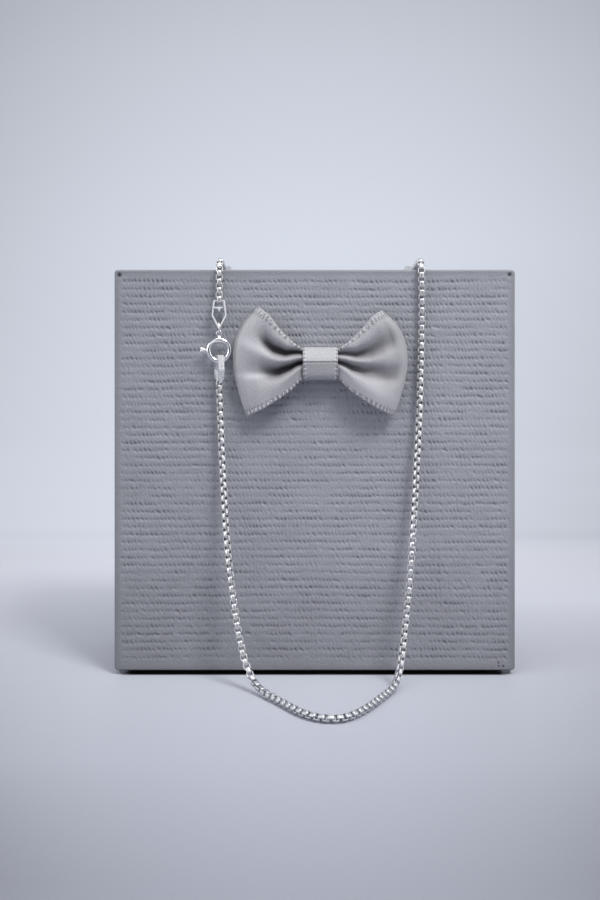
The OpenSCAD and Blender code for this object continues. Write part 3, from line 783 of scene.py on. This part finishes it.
# Its middle, half width, height over and under the middle, and depth, in mm.
BOW_X, BOW_Z = 1.2, 70.0
BOW_HALF, BOW_UPPER, BOW_LOWER, BOW_DEPTH = 19.3, 12.5, 11.8, 6.0
# Width of the ribbon, and the way once round it, for its weave.
RIBBON_W, RIBBON_L = 24.0, 73.5

# Shape of a loop from the knot out to its bend, in shares of the sizes above.
# Columns: way out, stand-off of the front, stand-off of the back, upper edge, lower edge.
LOOP = np.array([
    (0.00, 0.60, 0.24, 0.225, 0.24),
    (0.20, 0.62, 0.22, 0.235, 0.25),
    (0.36, 0.80, 0.15, 0.380, 0.50),
    (0.54, 0.90, 0.12, 0.590, 0.68),
    (0.75, 0.93, 0.12, 0.860, 0.85),
    (0.90, 0.80, 0.14, 0.960, 0.94),
    (1.00, 0.60, 0.20, 1.000, 1.00),
])
WAY_OUT, FRONT_OFF, BACK_OFF, UPPER, LOWER = LOOP.T

# Front pleats of the left loop (-1) and the right one (1), from the knot out.
# Columns: way out, place across the ribbon, depth in mm, width.
PLEATS = [
    (-1, [
        (0.00, 0.80, 0.90, 0.20),
        (0.20, 0.78, 1.50, 0.20),
        (0.40, 0.43, 2.80, 0.18),
        (0.54, 0.43, 2.80, 0.18),
        (0.65, 0.52, 1.90, 0.19),
        (0.72, 0.60, 1.00, 0.21),
        (0.85, 0.72, 0.15, 0.26),
        (1.00, 0.80, 0.00, 0.30),
    ]),
    (-1, [
        (0.00, 0.13, 1.20, 0.20),
        (0.20, 0.11, 1.90, 0.20),
        (0.34, -0.14, 2.70, 0.18),
        (0.48, -0.25, 2.80, 0.19),
        (0.61, -0.23, 2.00, 0.22),
        (0.74, -0.18, 1.00, 0.26),
        (0.90, -0.10, 0.30, 0.30),
        (1.00, -0.10, 0.00, 0.30),
    ]),
    (1, [
        (0.00, 0.76, 0.90, 0.20),
        (0.20, 0.74, 1.50, 0.20),
        (0.41, 0.36, 2.60, 0.19),
        (0.58, 0.32, 2.50, 0.23),
        (0.72, 0.39, 2.30, 0.25),
        (0.85, 0.45, 2.10, 0.26),
        (0.93, 0.48, 0.80, 0.28),
        (1.00, 0.50, 0.00, 0.30),
    ]),
    (1, [
        (0.00, 0.14, 1.20, 0.18),
        (0.20, 0.12, 1.90, 0.18),
        (0.36, -0.14, 2.60, 0.18),
        (0.51, -0.22, 2.50, 0.20),
        (0.72, -0.21, 2.20, 0.24),
        (0.89, -0.18, 1.80, 0.25),
        (0.95, -0.16, 0.70, 0.27),
        (1.00, -0.15, 0.00, 0.30),
    ]),
]

# The back layer's small even pleats: their pitch across the ribbon, and rows of way out, depth in mm.
BACK_PITCH = 0.30
BACK_PLEATS = np.array([(0.0, 0.45), (0.18, 0.55), (0.3, 0.95), (0.6, 1.05), (0.8, 0.75), (0.95, 0.0)])

# Painted highlights on the satin, and painted shade where a pleat runs out.
# Columns: loop, way out, place across, slope, reach, width, strength.
GLEAMS = [
    (-1, 0.79, 0.35, 0.6, 0.15, 0.095, 0.85),
    (-1, 0.80, -0.27, 0.2, 0.15, 0.075, 1.0),
    (1, 0.66, -0.64, -0.1, 0.26, 0.11, 0.55),
    (1, 0.80, 0.06, 0.2, 0.16, 0.09, 0.35),
]
SHADES = [
    (-1, 0.66, 0.50, 0.87, 0.13, 0.085, 0.34),
    (1, 0.80, -0.30, 0.0, 0.16, 0.10, 0.26),
]


def loop_place(turn):
    """Way out from the knot, from 0 to 1, and the loop, -1 on the left."""
    out = np.sin(turn)
    return np.abs(out), np.where(out < 0, -1, 1)


def layer(turn):
    """1 on the loops' front layer and 0 on the back one."""
    return np.clip(np.cos(turn) * 3.2 + 0.25, 0, 1)


def front_pleats(out, loop, v):
    """How far the front pleats press in, and how far the cloth swells beside them, in mm."""
    carve, swell = np.zeros_like(out), np.zeros_like(out)
    for which, rows in PLEATS:
        ways, *columns = np.array(rows).T
        place, depth, width = (np.interp(out, ways, column) for column in columns)
        depth = np.where(loop == which, depth, 0.0)
        # a pleat's upper flank widens on its way out
        lean = np.where(v < place, 0.92, np.interp(out, [0, 0.4, 0.9], [0.80, 0.95, 1.25])) * width
        carve += depth * bell((v - place) / lean)
        for side in (-1, 1):
            swell += 0.11 * depth * bell((v - place + side * 1.9 * width) / (1.1 * width))
    return carve, swell


def ribbon_surface(turn, v):
    """Middle of the ribbon, in mm, and its painted shade from 0 to 1, deeper in the pleats, on the loop's
    turned rim and next to the knot.

    Turn is in radians round the ribbon from the knot's front, and v runs from -1 to 1 across it.
    """
    out, loop = loop_place(turn)
    left, upper = loop < 0, v > 0
    facing = ease(layer(turn))
    carve, swell = front_pleats(out, loop, v)
    roll = 0.55 * np.abs(v) ** 4 * np.interp(out, [0, 0.3, 1], [0, 1, 0.6])
    gather = np.where(upper, 1.4, 0.5) * v * v * np.clip(1 - out / 0.24, 0, 1)
    front = np.interp(out, WAY_OUT, FRONT_OFF) * BOW_DEPTH - facing * (carve - swell + roll + gather)
    # the back layer is gathered as the front is, in small even pleats that stand off the lid
    ripple = np.interp(out, *BACK_PLEATS.T) * (1 - wave((v - 0.02) / BACK_PITCH))
    back = np.interp(out, WAY_OUT, BACK_OFF) * BOW_DEPTH + ease(layer(turn + math.pi)) * ripple
    off = (front + back) / 2 + np.cos(turn) * (front - back) / 2
    high = BOW_UPPER * np.interp(out, WAY_OUT, UPPER)
    high = np.where(left, high, high * np.interp(out, [0, 0.5, 1], [1, 0.97, 0.94]))
    up = v * np.where(upper, high, BOW_LOWER * np.interp(out, WAY_OUT, LOWER))
    draw = np.where(upper, 0.29 * np.abs(v) ** 2.7, 0.16 * np.abs(v) ** 1.5)
    x = BOW_X + BOW_HALF * np.sin(turn) * (1 - draw * out)
    # painted shade on the loop's turned rim and on the cloth next to the knot, most of all on the left
    rim = np.where(left, 0.5, 0.2) * np.clip((out - 0.958) / 0.02, 0, 1) * np.clip(v * 2 + 1.4, 0, 1)
    knot_shade = np.where(left, 0.42, 0.20) * np.clip(1.15 - out / 0.58, 0, 1)
    fold_shade = np.clip(facing * (carve / np.where(left, 2.7, 3.6) + knot_shade) + rim, 0, 1)
    return np.stack([x, FACE_Y - off, BOW_Z + up], -1), fold_shade


def patches(rows, turn, v):
    """Soft oval patches on the front of the loops, from 0 to 1, for painted highlights and painted shade."""
    out, loop = loop_place(turn)
    total = np.zeros_like(out)
    for which, at, across, slope, reach, width, strength in rows:
        off = v - across - slope * (out - at)
        total += np.where(loop == which, strength * bell((out - at) / reach) * bell(off / width), 0)
    return np.clip(layer(turn) * total, 0, 1)


def bow_loops():
    """The ribbon's two loops, as one closed band pinched at the knot."""
    around, across = 260, 72
    line = 2 * math.pi * np.arange(around) / around
    turn, v = np.meshgrid(line, np.linspace(-1, 1, across + 1), indexing="ij")
    points, fold_shade = ribbon_surface(turn, v)
    faces = grid_faces(around, across + 1, wrap_rows=True)
    loops = new_mesh("bow_loops", points.reshape(-1, 3) * MM, faces, ribbon_satin)
    number(loops, "across", v)
    # painted shade in the folds, on the turned rim, next to the knot and in the shade patches
    number(loops, "fold_shade", np.clip(fold_shade + patches(SHADES, turn, v), 0, 1))
    # painted highlights where the satin gleams
    number(loops, "gleam", patches(GLEAMS, turn, v))
    number(loops, "width", v * RIBBON_W / 2)
    number(loops, "along", turn / (2 * math.pi) * RIBBON_L)
    thicken(loops, 0.0002)
    return loops


# The band round the bow's middle, in mm: its size, how far its back stands off the lid,
# and how far the cloth's middle lies inside that size.
KNOT_W, KNOT_H, KNOT_DEPTH = 7.7, 7.2, 5.0
KNOT_BACK, KNOT_SKIN = 0.25, 0.12
# The upper half of its front leans back, above a crease just over the middle.
# Columns: height in mm, share of the stand-off.
KNOT_LEAN = np.array([
    (-3.5, 0.80),
    (-2.6, 0.88),
    (0.15, 1.0),
    (0.45, 0.985),
    (1.4, 0.90),
    (2.4, 0.76),
    (3.1, 0.64),
    (3.5, 0.56),
])


def knot_profile(t, across):
    """Round the knot's band: t from 0 to 1, starting at the back. Returns stand-off and height in mm."""
    a = 2 * math.pi * t - math.pi
    c, s = np.cos(a), np.sin(a)
    # a rounded square oval
    power = 0.42
    off = (KNOT_DEPTH + KNOT_BACK) / 2
    off = off + ((KNOT_DEPTH - KNOT_BACK) / 2 - KNOT_SKIN) * np.sign(c) * np.abs(c) ** power
    up = (KNOT_H / 2 - KNOT_SKIN) * np.sign(s) * np.abs(s) ** power
    off = KNOT_BACK + (off - KNOT_BACK) * np.interp(up, *KNOT_LEAN.T)
    # the front's crease, and its slight crown from side to side
    crease = 0.05 * np.cos(math.pi * across * 1.4) - 0.26 * bell((up - 0.32) / 0.16)
    return off + np.clip(c * 1.6 - 0.4, 0, 1) * crease, up


def knot_line(across):
    """Places round the band, close together, and the way along it at each of them."""
    t = np.linspace(0, 1, 40001)
    return t, lengths(np.stack(knot_profile(t, np.full_like(t, across)), 1))


def bow_band():
    around, across = 170, 40
    t, along = knot_line(0.0)
    ways = np.arange(around) * along[-1] / around
    t, w = np.meshgrid(np.interp(ways, along, t), np.linspace(-1, 1, across + 1), indexing="ij")
    off, up = knot_profile(t, w)
    x = BOW_X + w * KNOT_W / 2 * (1 - 0.04 * np.cos(2 * math.pi * t) * np.abs(up) / KNOT_H)
    points = np.stack([x, FACE_Y - off, BOW_Z + up], -1).reshape(-1, 3) * MM
    faces = grid_faces(around, across + 1, wrap_rows=True, flip=True)
    band = new_mesh("bow_band", points, faces, ribbon_satin)
    number(band, "across", w)
    # painted shade in the band's crease and over its lower half
    number(band, "fold_shade", (0.8 * bell((up - 0.26) / 0.16) + 0.18 * (up < 0.2)) * (off > 3.0))
    number(band, "width", w * KNOT_W / 2)
    number(band, "along", np.repeat(ways, across + 1))
    thicken(band, 0.00022)
    return band


def stitch_shape(length, width, height):
    """A small rounded stitch lying along x, with its middle at the origin."""
    rings, sides = 5, 6
    points = []
    for t in np.arange(rings) / (rings - 1):
        swell = math.sin(math.pi * (0.12 + 0.76 * t))
        for a in 2 * math.pi * np.arange(sides) / sides:
            y, z = width / 2 * swell * math.cos(a), height / 2 * swell * math.sin(a)
            points.append((length * (t - 0.5), y, z))
    faces = grid_faces(rings, sides, wrap_columns=True, flip=True).tolist()
    faces.append(range(sides)[::-1])
    faces.append(range((rings - 1) * sides, rings * sides))
    return np.array(points), faces


def stitch_axes(run, cross, normal, slant):
    """Axes of a stitch that lies across the cloth and leans along its run."""
    lean = unit(slant * run + cross)
    return np.stack([lean, np.cross(normal, lean), normal], 1)


def stitch_turns(turns, along, pitch):
    """Places of evenly spaced stitches along an edge."""
    count = int(along[-1] / pitch)
    return [np.interp((k + 0.5) * along[-1] / count, along, turns) for k in range(count)]


# Size of the stitches that show on each edge of each loop: (loop, edge), with -1 left and lower.
EDGE_STITCH = {(-1, -1): 1.0, (-1, 1): 0.8, (1, 1): 0.7, (1, -1): 0.5}


def edge_stitches():
    """Stitches of the woven edges, along both long edges of the ribbon and on both of its sides."""
    frames = []
    for v in (-0.955, 0.955):
        turns = np.linspace(0, 2 * math.pi, 1601)
        line, _ = ribbon_surface(turns, np.full_like(turns, v))
        for turn in stitch_turns(turns, lengths(line), 1.02):
            # the knot's band covers the innermost ones
            if abs(math.sin(turn)) < 0.2:
                continue
            here, ahead, beside = (
                ribbon_surface(np.array(turn + step), np.array(v + shift))[0]
                for step, shift in ((0.0, 0.0), (0.004, 0.0), (0.0, 0.01))
            )
            run = unit(ahead - here)
            cross = unit(beside - here - run * np.dot(beside - here, run))
            normal = np.cross(run, cross)
            size = EDGE_STITCH[1 if math.sin(turn) > 0 else -1, 1 if v > 0 else -1]
            axes = stitch_axes(run, cross, normal, 0.35) * size
            frames += [(axes, here + normal * 0.1), (axes, here - normal * 0.1)]
    return scatter("bow_edge_stitches", stitch_shape(0.85, 0.40, 0.18), frames, thread_satin)


def band_stitches():
    """Stitches of the band's woven edges, on its outer side."""
    frames = []
    for edge in (-0.86, 0.86):
        for t in stitch_turns(*knot_line(edge), 1.0):
            off, up = knot_profile(np.array(t), np.array(edge))
            next_off, next_up = knot_profile(np.array(t + 0.0004), np.array(edge))
            place = np.array([BOW_X + edge * KNOT_W / 2, FACE_Y - off, BOW_Z + up])
            run = unit(np.array([0.0, off - next_off, next_up - up]))
            cross = np.array([1.0, 0.0, 0.0])
            normal = np.cross(cross, run)
            # outwards from the band's middle
            if np.dot(normal, [0, 2.6 - off, up]) < 0:
                normal = -normal
            frames.append((stitch_axes(run, cross, normal, 0.3), place + normal * 0.11))
    return scatter("bow_band_stitches", stitch_shape(0.5, 0.3, 0.14), frames, thread_satin)


loops = bow_loops()
band = bow_band()
loop_thread = edge_stitches()
band_thread = band_stitches()
for pieces, node in (((loops, loop_thread), "bow_ribbon"), ((band, band_thread), "bow_knot")):
    for piece in pieces:
        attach(piece, BODY)
        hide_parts(node)


# Floor, backdrop and light

# Where the box stands: half its width, half its depth and its middle, in metres; the floor there is painted
# with the box's shadow.
FOOT_HALF_W, FOOT_HALF_D, FOOT_Y = 0.0437, 0.0149, 0.0151


def surroundings(g, x, y):
    """How much darker the floor is painted far off, as painted shade, most straight in front, but not behind.
    """
    away = g.math("SQRT", g.math("MULTIPLY_ADD", x, x, g.math("MULTIPLY", y, y)))
    ahead = g.math("DIVIDE", g.math("MULTIPLY", y, -1.0), g.math("MAXIMUM", away, 0.01))
    goal = g.ramp(ahead, (0.78, 0.60), (0.955, 0.12))
    faded = g.ramp(away, (0.36, 0.0), (1.2, 0.65), (2.55, 1.0))
    level = g.math("MULTIPLY_ADD", faded, g.math("SUBTRACT", goal, 1.0), 1.0)
    return g.math("MAXIMUM", level, g.ramp(y, (-0.05, 0.0), (0.12, 1.0)))


def floor_tone(g, x, y, far):
    """The floor is painted darker towards the front and towards the sides, as painted light falloff."""
    near = [(-0.3333, 0.60), (-0.22, 0.45), (-0.1333, 0.27), (-0.0953, 0.36), (-0.05, 0.49)]
    tone = g.ramp(y, *near, (0.0, 0.60), (0.0733, 0.72), (0.1667, 0.75))
    fall = g.ramp(y, (-0.3333, 0.0), (-0.1667, 0.30), (-0.0953, 0.80), (-0.05, 0.38), (0.07, 0.06))
    fall = g.math("MULTIPLY", g.math("MULTIPLY", x, x), g.math("MULTIPLY", fall, -200.0))
    lean = g.math("MULTIPLY", x, g.ramp(y, (-0.0953, 1.0), (-0.05, 0.9), (0.07, 0.3)))
    sides = g.math("MAXIMUM", g.math("ADD", fall, g.math("SUBTRACT", 1.0, lean)), 0.68)
    tint = g.ramp(y, (-0.1, (0.94, 0.975, 1.12)), (0.1, (0.965, 0.985, 1.06)))
    # painted shadow: the dark strip of floor that the box covers
    across = g.math("MULTIPLY", x, 1.0 / FOOT_HALF_W)
    along = g.math("MULTIPLY", g.math("SUBTRACT", y, FOOT_Y), 1.0 / FOOT_HALF_D)
    covered = g.math("MAXIMUM", g.math("ABSOLUTE", across), g.math("ABSOLUTE", along))
    box_shadow = g.ramp(covered, (0.95, 0.03), (1.0, 1.0))
    return g.times(tone, g.join(sides, sides, sides), g.join(far, far, far), tint, box_shadow)


def glow_tone(g, x, y, z, far):
    """The far floor and the backdrop glow evenly with painted light, in place of a lit wall, and fade upwards
    and to the sides.
    """
    low = [(0.0, 0.75), (0.16, 0.741), (0.2008, 0.718)]
    level = g.ramp(z, *low, (0.264, 0.674), (0.3264, 0.629), (0.3696, 0.585), (0.4, 0.56))
    middle = g.math("MULTIPLY_ADD", g.ramp(z, (0.0, 0.0), (0.16, 1.0)), 0.036, -0.024)
    off = g.math("SUBTRACT", x, middle)
    narrow = g.ramp(y, (0.17, 0.60), (0.30, 0.35), (0.45, 0.215), (0.75, 0.120))
    fade = g.math("MULTIPLY_ADD", g.math("MULTIPLY", off, off), g.math("MULTIPLY", narrow, -20.0), 1.0)
    # painted shade: a soft darker line where the table ends
    line = g.ramp(y, (0.163, 1.0), (0.176, 0.965), (0.184, 0.965), (0.20, 1.0))
    for factor in (g.math("MAXIMUM", fade, 0.74), line, far):
        level = g.math("MULTIPLY", level, factor)
    return g.times(g.join(level, level, level), (0.923, 0.978, 1.10))


def make_stage():
    """One sheet: a floor that turns up into a far backdrop. Its far part glows softly, with painted light."""
    width, near, far, radius, high = 12.0, -3.0, 0.75, 0.05, 3.0
    profile = [(near, 0.0), (-0.5, 0.0), (0.0, 0.0), (far - radius, 0.0)]
    profile += [(far - radius + radius * s, radius - radius * c) for c, s in arc(0, 17)[1:]]
    profile += [(far, 0.6), (far, high)]
    points = [(side * width / 2, y, z) for y, z in profile for side in (-1, 1)]
    g = Graph(bpy.data.materials.new("pale_sweep"))
    x, y, z = g.split(g.coords)
    distant = surroundings(g, x, y)
    g.set(Base_Color=floor_tone(g, x, y, distant), Roughness=0.5, Specular_IOR_Level=0.24)
    glow = g.add("ShaderNodeEmission")
    g.link(glow_tone(g, x, y, z, distant), glow.inputs["Color"])
    beside = g.ramp(g.math("ABSOLUTE", x), (0.34, 0.0), (0.75, 1.0))
    beyond = g.ramp(y, (0.145, 0.0), (0.175, 1.0))
    blend = g.add("ShaderNodeMixShader")
    g.link(g.math("MAXIMUM", beside, beyond), blend.inputs[0])
    g.link(g.shader.outputs[0], blend.inputs[1])
    g.link(glow.outputs[0], blend.inputs[2])
    g.link(blend.outputs[0], g.output.inputs["Surface"])
    new_mesh("sweep", points, grid_faces(len(profile), 2, flip=True), g.owner)


def area(name, place, target, size, power, colour=(1.0, 1.0, 1.0)):
    data = bpy.data.lights.new(name, "AREA")
    data.energy = power
    data.color = colour
    data.size = size
    light = bpy.data.objects.new(name, data)
    light.location = place
    light.rotation_euler = (Vector(target) - Vector(place)).to_track_quat("-Z", "Y").to_euler()
    light.visible_camera = False
    bpy.context.collection.objects.link(light)
    return light


def make_lights():
    area("key", (0.26, -0.36, 0.62), (0.02, -0.02, 0.05), 0.20, 2.8)
    area("soft_top", (-0.05, -0.25, 0.7), (0, 0, 0.02), 0.5, 1.2, (0.97, 0.98, 1.0))
    area("left_card", (-0.5, -0.3, 0.3), (0, 0, 0.05), 0.45, 0.6, (0.95, 0.97, 1.0))
    # Two tall white cards that only the silver mirrors.
    for side in (-1, 1):
        card = area("gloss_card", (0.62 * side, -0.12, 0.16), (0, 0, 0.06), 0.62, 1.7)
        card.visible_diffuse = False


def make_sky():
    """Pale all round and brightest overhead, with a dim patch straight in front, where the room is."""
    world = bpy.data.worlds.new("world")
    bpy.context.scene.world = world
    g = Graph(world, "Background", "OutputWorld", "Generated")
    _, back, up = g.split(g.coords)
    tone = g.ramp(up, (0.0, (0.46, 0.48, 0.54)), (0.30, (0.74, 0.77, 0.84)), (0.7, (1.0, 1.0, 1.04)))
    front = g.math("MULTIPLY", back, -1.0)
    dim = g.ramp(front, (0.85, (1.0, 1.0, 1.0)), (0.955, (0.22, 0.225, 0.24)))
    g.set(Color=g.times(tone, dim), Strength=0.67)


make_stage()
make_lights()
make_sky()
bpy.context.scene.view_settings.view_transform = "Standard"
